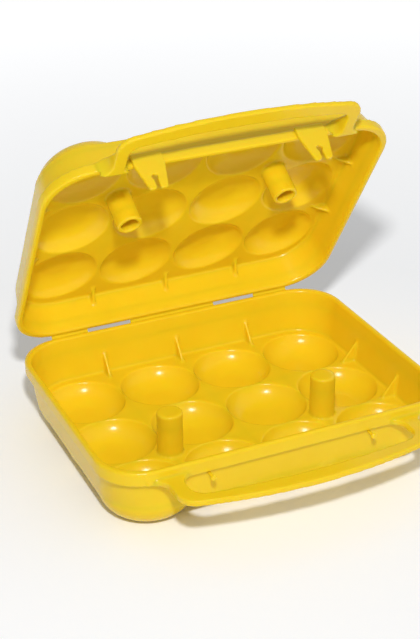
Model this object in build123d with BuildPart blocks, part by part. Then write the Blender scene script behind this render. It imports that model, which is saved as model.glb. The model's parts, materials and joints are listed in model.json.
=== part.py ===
from build123d import *
from math import cos, radians, sin
import os

os.makedirs("parts", exist_ok=True)

# Twelve-egg carrying carton, four eggs wide and three deep, drawn half open.
# All lengths are millimetres.  The carton stands on z = 0 with its rim centred on
# the z axis, the hinge runs along x at the back (+y) and the handle is in front (-y).

# --- driving dimensions -------------------------------------------------------
pitch = 48.0  # spacing of the eggs both ways
columns = 4
rows = 3
rim_length = 207.0
rim_width = 162.0
rim_corner = 26.0
rim_face = 3.4  # flat mating face of the rim
skin = 2.0  # thickness of walls and cups
wall_step = 1.3  # the walls stand in from the outside of the rim
wall_draft = 3.3  # and lean in this much more by the time they reach the floor
mouth_corner = 25.0  # corner radius of the walls' inner faces at the rim
base_depth = 40.0
lid_depth = 30.2
base_floor = 27.0  # from the rim down to the flat webs between the cups
lid_floor = 19.8
base_skirt = 8.2  # height of the band round the rim
lid_skirt = 6.0
rim_round = 0.8
row_shift = 2.4  # the rows of cups sit this much nearer the handle than the rim's middle

cup_radius = 26.7
cup_round = 14.0
cup_inner_round = 16.0

post_radius = 7.3
post_socket_radius = 5.0
post_socket_depth = 9.0
post_gap = 0.3  # left between facing posts when shut
post_shortfall = 1.0  # base posts stop this far below the rim

gusset_thickness = 1.8
gusset_top = 11.0  # from the rim down to the corner where gusset and wall would meet
gusset_reach = 12.5

handle_level = 4.7  # the two handle plates meet this far below the base rim
handle_thickness = 2.9
handle_bar = 9.4  # width of the bar at its middle
handle_flare = 9.0
handle_corner = 10.0
slot_bow = 4.8  # the slot's outer edge falls back this much at its ends
# reach is measured from the rim; bow is how far the bar's outer edge falls back
base_grip = {"half_length": 74.5, "arm": 8.5, "reach": 35.2, "bow": 10.2, "slot_corner": 9.0}
lid_grip = {"half_length": 70.0, "arm": 7.0, "reach": 34.5, "bow": 7.5, "slot_corner": 6.4}
arm_step = 3.0  # the lid's handle arms slope up from here to the bar's underside
arm_rise = 17.0
plate_gap = 0.1  # between the two handle plates when shut
front_gap = 0.4  # what hangs from the lid clears the base rim by this

fork_root_width = 17.0
fork_tip_width = 10.0
fork_length = 17.5
fork_thickness = 2.0
slit_width = 2.1
keyhole_radius = 1.8
latch_depth = 10.0  # pins sit this far below the rim

pin_radius = 0.9
pin_head_radius = 1.7
pin_head_length = 1.4
pin_head_gap = 1.0  # between the fork's face and the pin's head

hinge_gap = 1.0  # from each rim's back edge to the fold line
web_thickness = 0.8
web_gap = 0.08
web_spans = ((-79.0, -56.0), (-28.0, 28.0), (56.0, 79.0))

lid_opening = 57.3  # angle between the two rims

# --- places worked out from them ----------------------------------------------
hinge_y = rim_width / 2 + hinge_gap
lean = radians(lid_opening)

# Each half is drawn in a plane on its own rim: local x along the hinge, local y
# from the hinge to the handle, local z out of the half, which lies at z < 0.
base_half = Plane(origin=(0, hinge_y, base_depth), x_dir=(-1, 0, 0), z_dir=(0, 0, 1))
lid_half = Plane(
    origin=(0, hinge_y, base_depth), x_dir=(1, 0, 0), z_dir=(0, -sin(lean), -cos(lean))
)
rim_middle = hinge_gap + rim_width / 2
front = hinge_gap + rim_width
cups_middle = rim_middle + row_shift
post_row = cups_middle + pitch / 2
bottom = (Align.CENTER, Align.CENTER, Align.MIN)
top = (Align.CENTER, Align.CENTER, Align.MAX)


def rounded_block(half, *ends):
    """Block with the rim's outline; each end gives its level, inset and corner radius."""
    with BuildPart() as block:
        for level, inset, corner in ends:
            with BuildSketch(half.offset(level)):
                with Locations((0, rim_middle)):
                    RectangleRounded(rim_length - 2 * inset, rim_width - 2 * inset, corner)
        loft()
    return block.part


def rim_block(half, low, high, margin):
    """Straight-sided block with the rim's outline, grown by a margin all round."""
    corner = rim_corner + margin
    return rounded_block(half, (low, -margin, corner), (high, -margin, corner))


def wall_block(half, floor, thickness):
    """The space inside the walls' outer faces, or inside their inner faces."""
    overrun = 1.0
    inset = wall_step + thickness
    rim_end = mouth_corner if thickness else rim_corner - inset
    floor_end = cup_radius - thickness
    ends = []
    for level in (thickness - floor - skin, overrun if thickness else 0.0):
        fraction = -level / floor
        corner = rim_end + (floor_end - rim_end) * fraction
        ends.append((level, inset + wall_draft * fraction, corner))
    return rounded_block(half, *ends)


def cup_blocks(half, depth, floor, thickness):
    """Twelve cup bodies, or their insides, running up into the space inside the walls."""
    rounding = cup_inner_round if thickness else cup_round
    with BuildPart() as cup:
        Cylinder(cup_radius - thickness, floor, align=bottom)
        fillet(cup.edges().sort_by(Axis.Z)[0], rounding)
    with BuildPart() as cups:
        with Locations(half.offset(thickness - depth).location):
            with Locations((0, cups_middle)):
                with GridLocations(pitch, pitch, columns, rows):
                    add(cup.part)
    return cups.part


def half_shell(half, depth, floor, skirt):
    """One half's rim, walls, webs and cups as a single skin."""
    with BuildPart() as shell:
        add(wall_block(half, floor, 0.0))
        add(rim_block(half, -skirt, 0.0, 0.0))
        add(cup_blocks(half, depth, floor, 0.0))
        add(wall_block(half, floor, skin), mode=Mode.SUBTRACT)
        add(cup_blocks(half, depth, floor, skin), mode=Mode.SUBTRACT)
    return shell.part


def slab(half, low, high):
    """A slice of space between two levels of a half."""
    with BuildPart() as block:
        with BuildSketch(half.offset(low)):
            with Locations((0, rim_middle)):
                Rectangle(2 * rim_length, 2 * rim_width)
        extrude(amount=high - low)
    return block.part


def make_rim(half, shell, skirt, name):
    with BuildPart() as rim:
        add(shell)
        add(slab(half, -skirt, 1.0), mode=Mode.INTERSECT)
        fillet(rim.edges().group_by(Axis(half.origin, half.z_dir))[-1], rim_round)
    rim.part.label = name
    export_step(rim.part, f"parts/{name}.step")


def make_walls(half, shell, floor, skirt, name):
    with BuildPart() as walls:
        add(shell)
        add(slab(half, -floor, -skirt), mode=Mode.INTERSECT)
    walls.part.label = name
    export_step(walls.part, f"parts/{name}.step")


def make_cups(half, shell, depth, floor, prefix, rightward):
    """The floor, cut halfway between the eggs into one piece for each cup."""
    for column, column_name in enumerate(("far_left", "mid_left", "mid_right", "far_right")):
        for row, row_name in enumerate(("back", "middle", "front")):
            x = rightward * (column - (columns - 1) / 2) * pitch
            y = cups_middle + (row - 1) * pitch
            # the outer pieces run on past the walls
            spread_x = rightward * pitch * {0: -0.5, columns - 1: 0.5}.get(column, 0.0)
            spread_y = pitch * (row - 1) * 0.5
            with BuildPart() as cup:
                add(shell)
                with BuildSketch(half.offset(-depth - 1.0)):
                    with Locations((x + spread_x, y + spread_y)):
                        Rectangle(pitch + 2 * abs(spread_x), pitch + 2 * abs(spread_y))
                extrude(amount=depth + 1.0 - floor, mode=Mode.INTERSECT)
            name = f"{prefix}_cup_{column_name}_{row_name}"
            cup.part.label = name
            export_step(cup.part, f"parts/{name}.step")


def make_posts(half, floor, tip, socket, prefix, rightward):
    """Two posts on the webs between the middle and front cups."""
    for side, name in ((-1, f"{prefix}_post_left"), (1, f"{prefix}_post_right")):
        place = half.location * Location((side * rightward * pitch, post_row, -floor))
        with BuildPart(Plane(place)) as post:
            Cylinder(post_radius, floor + tip, align=bottom)
            fillet(post.edges().sort_by(Axis(half.origin, half.z_dir))[-1], rim_round)
            if socket:
                with Locations((0, 0, floor + tip)):
                    Cylinder(
                        post_socket_radius, post_socket_depth, align=top, mode=Mode.SUBTRACT
                    )
        post.part.label = name
        export_step(post.part, f"parts/{name}.step")


def make_gussets(half, floor, prefix):
    """Triangular fins that stiffen the walls at the lines between the cups."""
    space = wall_block(half, floor, skin)
    side_reach = rim_length / 2 - rim_face
    across = Plane(half.origin, x_dir=half.y_dir, z_dir=half.x_dir)
    along = Plane(half.origin, x_dir=half.x_dir, z_dir=-half.y_dir)
    columns_between = (-pitch, 0.0, pitch)
    rows_between = (cups_middle - pitch / 2, cups_middle + pitch / 2)
    for wall, toward, name in (
        (hinge_gap + rim_face, 1, f"{prefix}_back_gussets"),
        (front - rim_face, -1, f"{prefix}_front_gussets"),
    ):
        with BuildPart() as fins:
            for x in columns_between:
                with BuildSketch(across.offset(x)):
                    with BuildLine():
                        Polyline(
                            (wall - toward * skin, -gusset_top),
                            (wall, -gusset_top),
                            (wall + toward * gusset_reach, -floor),
                            (wall - toward * skin, -floor),
                            close=True,
                        )
                    make_face()
                extrude(amount=gusset_thickness / 2, both=True)
            add(space, mode=Mode.INTERSECT)
        fins.part.label = name
        export_step(fins.part, f"parts/{name}.step")
    with BuildPart() as side_fins:
        for side in (-1, 1):
            for y in rows_between:
                with BuildSketch(along.offset(-y)):
                    with BuildLine():
                        Polyline(
                            (side * (side_reach + skin), -gusset_top),
                            (side * side_reach, -gusset_top),
                            (side * (side_reach - gusset_reach), -floor),
                            (side * (side_reach + skin), -floor),
                            close=True,
                        )
                    make_face()
                extrude(amount=gusset_thickness / 2, both=True)
        add(space, mode=Mode.INTERSECT)
    side_fins.part.label = f"{prefix}_side_gussets"
    export_step(side_fins.part, f"parts/{prefix}_side_gussets.step")


def make_handle(half, low, high, skirt, name, half_length, arm, reach, bow, slot_corner):
    """A bowed flat bar on two arms, with a finger slot between it and the rim."""
    outer = front + reach
    inner = outer - handle_bar
    arm_inside = half_length - arm
    root = front - rim_corner / 2
    foot = min(low, -skirt)
    across = Plane(half.origin, x_dir=half.y_dir, z_dir=half.x_dir)
    with BuildPart() as handle:
        with BuildSketch(half.offset(foot)) as outline:
            with BuildLine():
                bar = ThreePointArc(
                    (-half_length, outer - bow), (0, outer), (half_length, outer - bow)
                )
                Polyline(
                    bar @ 1,
                    (half_length, front),
                    (half_length + handle_flare, front),
                    (half_length + handle_flare, root),
                    (-half_length - handle_flare, root),
                    (-half_length - handle_flare, front),
                    (-half_length, front),
                    bar @ 0,
                )
            make_face()
            fillet(outline.vertices().group_by(Axis.Y)[-1], handle_corner)
            arm_roots = outline.vertices().group_by(Axis.Y)[1].sort_by(Axis.X)
            fillet(arm_roots[1:-1], handle_flare - 0.1)
        extrude(amount=high - foot)
        with BuildSketch(half.offset(foot)) as slot:
            with BuildLine():
                edge = ThreePointArc(
                    (-arm_inside, inner - slot_bow), (0, inner), (arm_inside, inner - slot_bow)
                )
                Polyline(edge @ 1, (arm_inside, front), (-arm_inside, front), edge @ 0)
            make_face()
            fillet(slot.vertices(), slot_corner)
        extrude(amount=high - foot, mode=Mode.SUBTRACT)
        if foot < low:
            with BuildSketch(across):
                with BuildLine():
                    Polyline(
                        (front + arm_step, foot),
                        (front + arm_rise, low),
                        (front + 2 * reach, low),
                        (front + 2 * reach, foot - 1.0),
                        (front + arm_step, foot - 1.0),
                        close=True,
                    )
                make_face()
            extrude(amount=rim_length, both=True, mode=Mode.SUBTRACT)
            add(rim_block(half, -web_gap, high + 1.0, front_gap), mode=Mode.SUBTRACT)
        add(rim_block(half, foot - 1.0, -web_gap, 0.0), mode=Mode.SUBTRACT)
    handle.part.label = name
    export_step(handle.part, f"parts/{name}.step")


def make_latch_forks():
    """Forks that hang from the lid and clip over the base's pins with a keyhole."""
    upright = Plane(lid_half.origin, x_dir=lid_half.x_dir, z_dir=-lid_half.y_dir)
    for x, name in ((-pitch, "latch_fork_left"), (pitch, "latch_fork_right")):
        with BuildPart() as fork:
            with BuildSketch(upright.offset(-front - front_gap)) as outline:
                with BuildLine():
                    Polyline(
                        (x - fork_root_width / 2, -lid_skirt),
                        (x - fork_root_width / 2, rim_face / 2),
                        (x - fork_tip_width / 2, fork_length),
                        (x + fork_tip_width / 2, fork_length),
                        (x + fork_root_width / 2, rim_face / 2),
                        (x + fork_root_width / 2, -lid_skirt),
                        close=True,
                    )
                make_face()
                with Locations((x, latch_depth)):
                    Rectangle(
                        slit_width,
                        fork_length,
                        align=(Align.CENTER, Align.MIN),
                        mode=Mode.SUBTRACT,
                    )
                    Circle(keyhole_radius, mode=Mode.SUBTRACT)
                fillet(outline.vertices().group_by(Axis.Y)[-1], slit_width * 0.8)
            extrude(amount=-fork_thickness)
            with BuildSketch(upright.offset(-front)):
                with Locations((x, -web_gap)):
                    Rectangle(
                        fork_root_width, lid_skirt - web_gap, align=(Align.CENTER, Align.MAX)
                    )
            extrude(amount=-front_gap)
        fork.part.label = name
        export_step(fork.part, f"parts/{name}.step")


def make_latch_pins():
    """Headed pins on the front wall of the base, under its rim."""
    upright = Plane(base_half.origin, x_dir=base_half.x_dir, z_dir=-base_half.y_dir)
    neck_start = front - rim_face
    head_start = front + front_gap + fork_thickness + pin_head_gap
    for x, name in ((pitch, "latch_pin_left"), (-pitch, "latch_pin_right")):
        with BuildPart() as pin:
            with BuildSketch(upright.offset(-neck_start)):
                with Locations((x, -latch_depth)):
                    Circle(pin_radius)
            extrude(amount=neck_start - head_start)
            with BuildSketch(upright.offset(-head_start)):
                with Locations((x, -latch_depth)):
                    Circle(pin_head_radius)
            extrude(amount=-pin_head_length)
            outward = Axis(base_half.origin, base_half.y_dir)
            fillet(pin.edges().sort_by(outward)[-1], pin_head_radius / 2)
            add(wall_block(base_half, base_floor, 0.0), mode=Mode.SUBTRACT)
        pin.part.label = name
        export_step(pin.part, f"parts/{name}.step")


def make_hinge_webs(half, name):
    """One half of the folding webs, from the rim's back edge to the fold line."""
    with BuildPart() as webs:
        with BuildSketch(half.offset(-web_gap)):
            for start, end in web_spans:
                with Locations(((start + end) / 2, web_gap)):
                    Rectangle(
                        end - start, hinge_gap - web_gap, align=(Align.CENTER, Align.MIN)
                    )
        extrude(amount=-web_thickness)
    webs.part.label = name
    export_step(webs.part, f"parts/{name}.step")


base_shell = half_shell(base_half, base_depth, base_floor, base_skirt)
make_rim(base_half, base_shell, base_skirt, "base_rim")
make_walls(base_half, base_shell, base_floor, base_skirt, "base_walls")
make_cups(base_half, base_shell, base_depth, base_floor, "base", -1)
make_posts(base_half, base_floor, -post_shortfall, False, "base", -1)
make_gussets(base_half, base_floor, "base")
make_handle(
    base_half, -base_skirt, -handle_level, base_skirt, "base_handle", **base_grip
)
make_latch_pins()
make_hinge_webs(base_half, "base_hinge_webs")

lid_shell = half_shell(lid_half, lid_depth, lid_floor, lid_skirt)
make_rim(lid_half, lid_shell, lid_skirt, "lid_rim")
make_walls(lid_half, lid_shell, lid_floor, lid_skirt, "lid_walls")
make_cups(lid_half, lid_shell, lid_depth, lid_floor, "lid", 1)
make_posts(lid_half, lid_floor, post_shortfall - post_gap, True, "lid", 1)
make_gussets(lid_half, lid_floor, "lid")
plate_high = handle_level - plate_gap
plate_low = plate_high - handle_thickness
make_handle(lid_half, plate_low, plate_high, lid_skirt, "lid_handle", **lid_grip)
make_latch_forks()
make_hinge_webs(lid_half, "lid_hinge_webs")
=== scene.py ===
import json
import math

import bmesh
import bpy
import numpy as np
from mathutils import Matrix, Vector


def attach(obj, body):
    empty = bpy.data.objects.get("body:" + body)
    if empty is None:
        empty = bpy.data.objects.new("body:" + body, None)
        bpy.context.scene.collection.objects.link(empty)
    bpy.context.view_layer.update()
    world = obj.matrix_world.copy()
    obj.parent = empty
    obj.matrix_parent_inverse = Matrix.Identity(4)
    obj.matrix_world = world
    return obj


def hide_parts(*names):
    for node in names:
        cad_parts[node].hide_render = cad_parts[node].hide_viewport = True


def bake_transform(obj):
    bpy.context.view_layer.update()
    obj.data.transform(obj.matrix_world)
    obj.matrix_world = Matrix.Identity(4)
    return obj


# Looks of the twelve-egg carrying carton.  Each half is one moulding, so its solids are
# remeshed together, softened, and then cut back into pieces that keep the whole's shading.
# Lengths are metres.

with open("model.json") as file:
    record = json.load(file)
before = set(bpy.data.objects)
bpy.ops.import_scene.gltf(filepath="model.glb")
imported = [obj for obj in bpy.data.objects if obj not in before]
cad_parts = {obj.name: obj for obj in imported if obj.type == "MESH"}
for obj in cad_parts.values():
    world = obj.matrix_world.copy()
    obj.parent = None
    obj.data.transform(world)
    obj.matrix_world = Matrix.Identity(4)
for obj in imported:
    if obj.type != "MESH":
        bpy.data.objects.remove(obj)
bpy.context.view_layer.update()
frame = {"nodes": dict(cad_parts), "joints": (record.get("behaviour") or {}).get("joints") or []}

MM = 0.001
PITCH = 48 * MM
TRAY_SKIRT = 8.2 * MM
LID_SKIRT = 6.0 * MM
TRAY_FLOOR = 27.0 * MM
LID_FLOOR = 19.8 * MM
CUPS_MIDDLE = 84.4 * MM  # from the hinge line to the middle row of cups
FRONT = 163.0 * MM  # from the hinge line to the rim's front face
COLUMNS = ("far_left", "mid_left", "mid_right", "far_right")
ROWS = ("back", "middle", "front")
WEB_SPANS = ((-79 * MM, -56 * MM), (-28 * MM, 28 * MM), (56 * MM, 79 * MM))

SHELL_VOXEL = 0.8 * MM
SHELL_PASSES = 4
SHELL_CUTS = {"handle": 0.6 * MM, "rim": 1.0 * MM, "floor": 1.6 * MM}  # clear of corners
FORK_VOXEL = 0.35 * MM
PIN_VOXEL = 0.18 * MM

hinge = frame["joints"][0]
hinge_point = Vector(hinge["pos_m"])
opening = math.radians(-hinge["range_deg"][0])


class Half:
    """One half of the carton, with its own directions from the hinge line."""

    def __init__(self, body, prefix, outward, up, skirt, floor):
        self.body = body
        self.prefix = prefix
        self.outward = Vector(outward)
        self.up = Vector(up)
        self.skirt = skirt
        self.floor = floor

    def point(self, x, out, level):
        return hinge_point + Vector((x, 0, 0)) + self.outward * out + self.up * level


tray = Half("tray", "base", (0, -1, 0), (0, 0, 1), TRAY_SKIRT, TRAY_FLOOR)
lid = Half(
    "lid",
    "lid",
    (0, -math.cos(opening), math.sin(opening)),
    (0, -math.sin(opening), -math.cos(opening)),
    LID_SKIRT,
    LID_FLOOR,
)


# --- material -------------------------------------------------------------------
def node_at(tree, kind, **values):
    """A new shader node with some of its inputs set."""
    node = tree.nodes.new(kind)
    for key, value in values.items():
        node.inputs[key].default_value = value
    return node


def ramp_at(tree, source, start, end):
    """Maps a value from one range to another; start and end are (input, output)."""
    ramp = tree.nodes.new("ShaderNodeMapRange")
    ramp.inputs["From Min"].default_value = start[0]
    ramp.inputs["From Max"].default_value = end[0]
    ramp.inputs["To Min"].default_value = start[1]
    ramp.inputs["To Max"].default_value = end[1]
    tree.links.new(source, ramp.inputs["Value"])
    return ramp.outputs["Result"]


def moulded_plastic():
    """Glossy yellow polypropylene: faint flow clouds, fine grain and handling scuffs."""
    material = bpy.data.materials.new("yellow_polypropylene")
    material.use_nodes = True
    tree = material.node_tree
    tree.nodes.clear()
    link = tree.links.new
    output = tree.nodes.new("ShaderNodeOutputMaterial")
    shader = tree.nodes.new("ShaderNodeBsdfPrincipled")
    link(shader.outputs["BSDF"], output.inputs["Surface"])
    shader.inputs["IOR"].default_value = 1.32
    shader.inputs["Specular IOR Level"].default_value = 0.5
    shader.inputs["Subsurface Weight"].default_value = 0.3
    shader.inputs["Subsurface Radius"].default_value = (1.0, 0.4, 0.05)
    shader.inputs["Subsurface Scale"].default_value = 0.005
    place = tree.nodes.new("ShaderNodeTexCoord")

    clouds = node_at(tree, "ShaderNodeTexNoise", Scale=28.0, Detail=4.0, Roughness=0.55)
    link(place.outputs["Object"], clouds.inputs["Vector"])
    ramp = tree.nodes.new("ShaderNodeValToRGB")
    ramp.color_ramp.elements[0].position = 0.3
    ramp.color_ramp.elements[0].color = (0.80, 0.555, 0.011, 1)
    ramp.color_ramp.elements[1].position = 0.7
    ramp.color_ramp.elements[1].color = (0.84, 0.590, 0.015, 1)
    link(clouds.outputs["Fac"], ramp.inputs["Fac"])
    link(ramp.outputs["Color"], shader.inputs["Base Color"])

    scuffs = node_at(tree, "ShaderNodeTexNoise", Scale=160.0, Detail=6.0, Roughness=0.7)
    link(place.outputs["Object"], scuffs.inputs["Vector"])
    dullness = ramp_at(tree, scuffs.outputs["Fac"], (0.3, 0.17), (0.7, 0.27))
    link(dullness, shader.inputs["Roughness"])

    grain = node_at(tree, "ShaderNodeTexNoise", Scale=900.0, Detail=3.0, Roughness=0.6)
    link(place.outputs["Object"], grain.inputs["Vector"])
    bump = node_at(tree, "ShaderNodeBump", Strength=0.12, Distance=0.0004)
    link(grain.outputs["Fac"], bump.inputs["Height"])
    link(bump.outputs["Normal"], shader.inputs["Normal"])
    return material


plastic = moulded_plastic()


# --- remeshing and cutting ------------------------------------------------------
def softened(nodes, voxel, passes):
    """The named CAD solids as one closed mesh with soft edges."""
    soup = bmesh.new()
    for node in nodes:
        soup.from_mesh(frame["nodes"][node].data)
    mesh = bpy.data.meshes.new("soup")
    soup.to_mesh(mesh)
    soup.free()
    holder = bpy.data.objects.new("soup", mesh)
    bpy.context.scene.collection.objects.link(holder)
    remesh = holder.modifiers.new("remesh", "REMESH")
    remesh.mode = "VOXEL"
    remesh.voxel_size = voxel
    smooth = holder.modifiers.new("smooth", "SMOOTH")
    smooth.factor = 0.5
    smooth.iterations = passes
    bpy.context.view_layer.update()
    evaluated = holder.evaluated_get(bpy.context.evaluated_depsgraph_get())
    result = bpy.data.meshes.new_from_object(evaluated)
    bpy.data.objects.remove(holder)
    bpy.data.meshes.remove(mesh)
    return result


def remember_normals(mesh):
    """Stores each point's normal, which cutting then carries to the pieces."""
    normals = np.zeros(len(mesh.vertices) * 3, np.float32)
    mesh.vertex_normals.foreach_get("vector", normals)
    mesh.attributes.new("whole_normal", "FLOAT_VECTOR", "POINT").data.foreach_set(
        "vector", normals
    )


def cut(whole, point, normal):
    """Cuts a closed mesh in two along a plane and caps both; returns (behind, ahead)."""
    halves = (whole, whole.copy())
    for half, is_ahead in zip(halves, (False, True)):
        found = bmesh.ops.bisect_plane(
            half,
            geom=half.verts[:] + half.edges[:] + half.faces[:],
            dist=1e-7,
            plane_co=point,
            plane_no=normal,
            clear_outer=not is_ahead,
            clear_inner=is_ahead,
        )
        edges = [e for e in found["geom_cut"] if isinstance(e, bmesh.types.BMEdge)]
        filled = bmesh.ops.triangle_fill(
            half, use_beauty=False, edges=edges, normal=normal if not is_ahead else -normal
        )
        for face in filled["geom"]:
            if isinstance(face, bmesh.types.BMFace):
                face.smooth = False
    return halves


def finish_piece(piece_mesh, name, half, *nodes):
    """A named, painted piece that rides on its half and stands for its CAD nodes."""
    mesh = bpy.data.meshes.new(name)
    piece_mesh.to_mesh(mesh)
    piece_mesh.free()
    kept = np.zeros(len(mesh.vertices) * 3, np.float32)
    mesh.attributes["whole_normal"].data.foreach_get("vector", kept)
    kept = kept.reshape(-1, 3)
    corners = np.zeros(len(mesh.loops), np.int32)
    mesh.loops.foreach_get("vertex_index", corners)
    normals = kept[corners]
    normals /= np.maximum(np.linalg.norm(normals, axis=1, keepdims=True), 1e-9)
    starts = np.zeros(len(mesh.polygons), np.int32)
    counts = np.zeros(len(mesh.polygons), np.int32)
    smooth = np.zeros(len(mesh.polygons), bool)
    mesh.polygons.foreach_get("loop_start", starts)
    mesh.polygons.foreach_get("loop_total", counts)
    mesh.polygons.foreach_get("use_smooth", smooth)
    normals[~np.repeat(smooth, counts)] = 0
    mesh.normals_split_custom_set(normals)
    mesh.attributes.remove(mesh.attributes["whole_normal"])
    mesh.materials.append(plastic)
    piece = bpy.data.objects.new(name, mesh)
    bpy.context.scene.collection.objects.link(piece)
    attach(piece, half.body)
    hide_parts(*nodes)


def loose_parts(whole):
    """The separate closed parts of a mesh, each as a mesh of its own, from left to right."""
    islands = []
    unseen = set(whole.verts)
    while unseen:
        seed = unseen.pop()
        group = {seed}
        stack = [seed]
        while stack:
            for edge in stack.pop().link_edges:
                for vertex in edge.verts:
                    if vertex in unseen:
                        unseen.remove(vertex)
                        group.add(vertex)
                        stack.append(vertex)
        islands.append({vertex.index for vertex in group})
    pieces = []
    for indices in islands:
        piece = whole.copy()
        piece.verts.ensure_lookup_table()
        piece.verts.index_update()
        doomed = [v for v in piece.verts if v.index not in indices]
        bmesh.ops.delete(piece, geom=doomed, context="VERTS")
        pieces.append(piece)
    return sorted(pieces, key=lambda piece: min(v.co.x for v in piece.verts))


def build_half(half):
    """Remeshes one half and cuts it into handle, rim, walls, posts and cups."""
    own = [
        name
        for name in frame["nodes"]
        if name.startswith(half.prefix + "_") and not name.endswith("hinge_webs")
    ]
    mesh = softened(own, SHELL_VOXEL, SHELL_PASSES)
    remember_normals(mesh)
    whole = bmesh.new()
    whole.from_mesh(mesh)
    for face in whole.faces:
        face.smooth = True
    rest, handle = cut(whole, half.point(0, FRONT + SHELL_CUTS["handle"], 0), half.outward)
    finish_piece(handle, f"{half.body}_handle", half, f"{half.prefix}_handle")
    below, rim = cut(rest, half.point(0, 0, -half.skirt - SHELL_CUTS["rim"]), half.up)
    finish_piece(rim, f"{half.body}_rim", half, f"{half.prefix}_rim")
    floor, above = cut(below, half.point(0, 0, -half.floor + SHELL_CUTS["floor"]), half.up)
    above.verts.index_update()
    for part in loose_parts(above):
        xs = [v.co.x for v in part.verts]
        if max(xs) - min(xs) > PITCH:
            fins = [f"{half.prefix}_{side}_gussets" for side in ("back", "front", "side")]
            finish_piece(part, f"{half.body}_walls", half, f"{half.prefix}_walls", *fins)
        else:
            side = "left" if max(xs) < 0 else "right"
            finish_piece(part, f"{half.body}_post_{side}", half, f"{half.prefix}_post_{side}")
    for column, column_name in enumerate(COLUMNS):
        if column < len(COLUMNS) - 1:
            strip, floor = cut(floor, half.point((column - 1) * PITCH, 0, 0), Vector((1, 0, 0)))
        else:
            strip = floor
        for row, row_name in enumerate(ROWS):
            if row < len(ROWS) - 1:
                edge = CUPS_MIDDLE + (row - 0.5) * PITCH
                cup, strip = cut(strip, half.point(0, edge, 0), half.outward)
            else:
                cup = strip
            name = f"cup_{column_name}_{row_name}"
            finish_piece(cup, f"{half.body}_{name}", half, f"{half.prefix}_{name}")
    bpy.data.meshes.remove(mesh)


def build_small(node, half, voxel, passes):
    """A small piece softened on its own."""
    mesh = softened([node], voxel, passes)
    remember_normals(mesh)
    small = bmesh.new()
    small.from_mesh(mesh)
    for face in small.faces:
        face.smooth = True
    finish_piece(small, f"{node}_moulded", half, node)
    bpy.data.meshes.remove(mesh)


def build_hinge_webs():
    """Thin hinge strips, each built curved between the two rims' back edges; they are not
    attached to either half.
    """
    thickness = 0.7 * MM
    inset = 1.6 * MM
    bulge = 0.2 * MM
    steps = 10
    start = tray.point(0, inset, -thickness / 2)
    end = lid.point(0, inset, -thickness / 2)
    middle = hinge_point + Vector((0, bulge, 0))
    for (low, high), place in zip(WEB_SPANS, ("left", "middle", "right")):
        strip = bmesh.new()
        rings = []
        for step in range(steps + 1):
            t = step / steps
            centre = start * (1 - t) ** 2 + middle * 2 * t * (1 - t) + end * t**2
            along = (middle - start) * (1 - t) + (end - middle) * t
            normal = Vector((1, 0, 0)).cross(along).normalized() * thickness / 2
            rings.append(
                [
                    strip.verts.new(centre + normal + Vector((low, 0, 0))),
                    strip.verts.new(centre + normal + Vector((high, 0, 0))),
                    strip.verts.new(centre - normal + Vector((high, 0, 0))),
                    strip.verts.new(centre - normal + Vector((low, 0, 0))),
                ]
            )
        for ring, following in zip(rings, rings[1:]):
            for corner in range(4):
                beside = (corner + 1) % 4
                strip.faces.new(
                    (ring[corner], ring[beside], following[beside], following[corner])
                )
        strip.faces.new(reversed(rings[0]))
        strip.faces.new(rings[-1])
        bmesh.ops.recalc_face_normals(strip, faces=strip.faces)
        mesh = bpy.data.meshes.new(f"hinge_web_{place}")
        strip.to_mesh(mesh)
        strip.free()
        mesh.materials.append(plastic)
        piece = bpy.data.objects.new(f"hinge_web_{place}", mesh)
        bpy.context.scene.collection.objects.link(piece)
        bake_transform(piece)
        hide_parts("base_hinge_webs", "lid_hinge_webs")


build_half(tray)
build_half(lid)
for side in ("left", "right"):
    build_small(f"latch_pin_{side}", tray, PIN_VOXEL, 2)
    build_small(f"latch_fork_{side}", lid, FORK_VOXEL, 4)
build_hinge_webs()


# --- room, light and camera -----------------------------------------------------
def build_floor():
    """A pale floor with a painted glow: it emits more light further from the carton, standing in
    for a lit sweep.
    """
    size = 4.0
    floor = bmesh.new()
    bmesh.ops.create_grid(floor, x_segments=2, y_segments=2, size=size)
    mesh = bpy.data.meshes.new("floor")
    floor.to_mesh(mesh)
    floor.free()
    material = bpy.data.materials.new("white_floor")
    material.use_nodes = True
    shader = material.node_tree.nodes["Principled BSDF"]
    shader.inputs["Base Color"].default_value = (0.965, 0.975, 0.99, 1)
    shader.inputs["Roughness"].default_value = 0.8
    shader.inputs["Specular IOR Level"].default_value = 0.1
    shader.inputs["Emission Color"].default_value = (1, 1, 1, 1)
    tree = material.node_tree
    place = tree.nodes.new("ShaderNodeTexCoord")
    reach = tree.nodes.new("ShaderNodeVectorMath")
    reach.operation = "LENGTH"
    tree.links.new(place.outputs["Object"], reach.inputs[0])
    # painted glow: the floor emits light that rises with distance from the carton; no lamp makes
    # it
    glow = ramp_at(tree, reach.outputs["Value"], (0.25, 0.0), (0.9, 0.32))
    tree.links.new(glow, shader.inputs["Emission Strength"])
    mesh.materials.append(material)
    ground = bpy.data.objects.new("floor", mesh)
    bpy.context.scene.collection.objects.link(ground)


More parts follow.
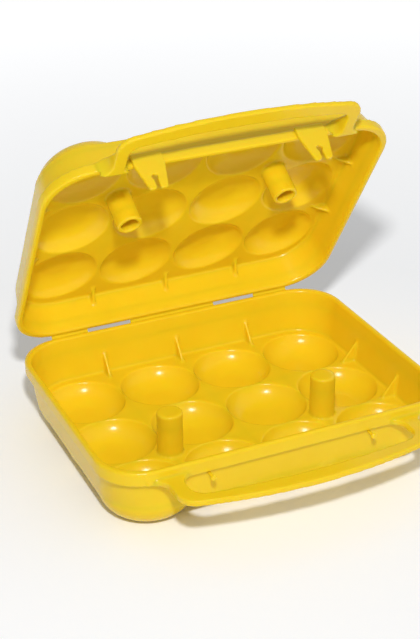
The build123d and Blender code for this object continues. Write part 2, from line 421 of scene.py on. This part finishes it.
def add_lamp(name, place, target, size, power):
    """A round lamp whose light does not fade with distance."""
    data = bpy.data.lights.new(name, "AREA")
    data.shape = "DISK"
    data.size = size
    data.energy = power
    data.use_nodes = True
    tree = data.node_tree
    falloff = tree.nodes.new("ShaderNodeLightFalloff")
    falloff.inputs["Strength"].default_value = 1.0
    tree.links.new(falloff.outputs["Constant"], tree.nodes["Emission"].inputs["Strength"])
    lamp = bpy.data.objects.new(name, data)
    lamp.location = place
    away = Vector(place) - Vector(target)
    lamp.rotation_euler = away.to_track_quat("Z", "Y").to_euler()
    bpy.context.scene.collection.objects.link(lamp)


def add_camera():
    azimuth = math.radians(24.287)
    tilt = math.radians(27.149)
    roll = math.radians(-0.650)
    forward = Vector(
        (
            math.sin(azimuth) * math.cos(tilt),
            math.cos(azimuth) * math.cos(tilt),
            -math.sin(tilt),
        )
    )
    level = Vector((math.cos(azimuth), -math.sin(azimuth), 0))
    rise = level.cross(forward)
    right = level * math.cos(roll) + rise * math.sin(roll)
    up = rise * math.cos(roll) - level * math.sin(roll)
    data = bpy.data.cameras.new("camera")
    data.lens = 81.35
    data.sensor_width = 36.0
    camera = bpy.data.objects.new("camera", data)
    camera.matrix_world = Matrix.Translation((-0.3088, -0.6602, 0.4468)) @ Matrix(
        (right, up, -forward)
    ).transposed().to_4x4()
    bpy.context.scene.collection.objects.link(camera)
    bpy.context.scene.camera = camera


def studio_world():
    """Pale surroundings, dimmer towards the left."""
    world = bpy.data.worlds.new("studio")
    world.use_nodes = True
    tree = world.node_tree
    background = tree.nodes["Background"]
    background.inputs["Color"].default_value = (1, 1, 1, 1)
    place = tree.nodes.new("ShaderNodeTexCoord")
    split = tree.nodes.new("ShaderNodeSeparateXYZ")
    tree.links.new(place.outputs["Generated"], split.inputs["Vector"])
    fade = ramp_at(tree, split.outputs["X"], (-0.9, 0.26), (0.4, 0.62))
    tree.links.new(fade, background.inputs["Strength"])
    return world


build_floor()
add_lamp("key", (-0.243, -0.53, 0.573), (0, 0.3, 0.0), 0.055, 6.7)
bpy.context.scene.world = studio_world()
bpy.context.scene.view_settings.view_transform = "Standard"
add_camera()
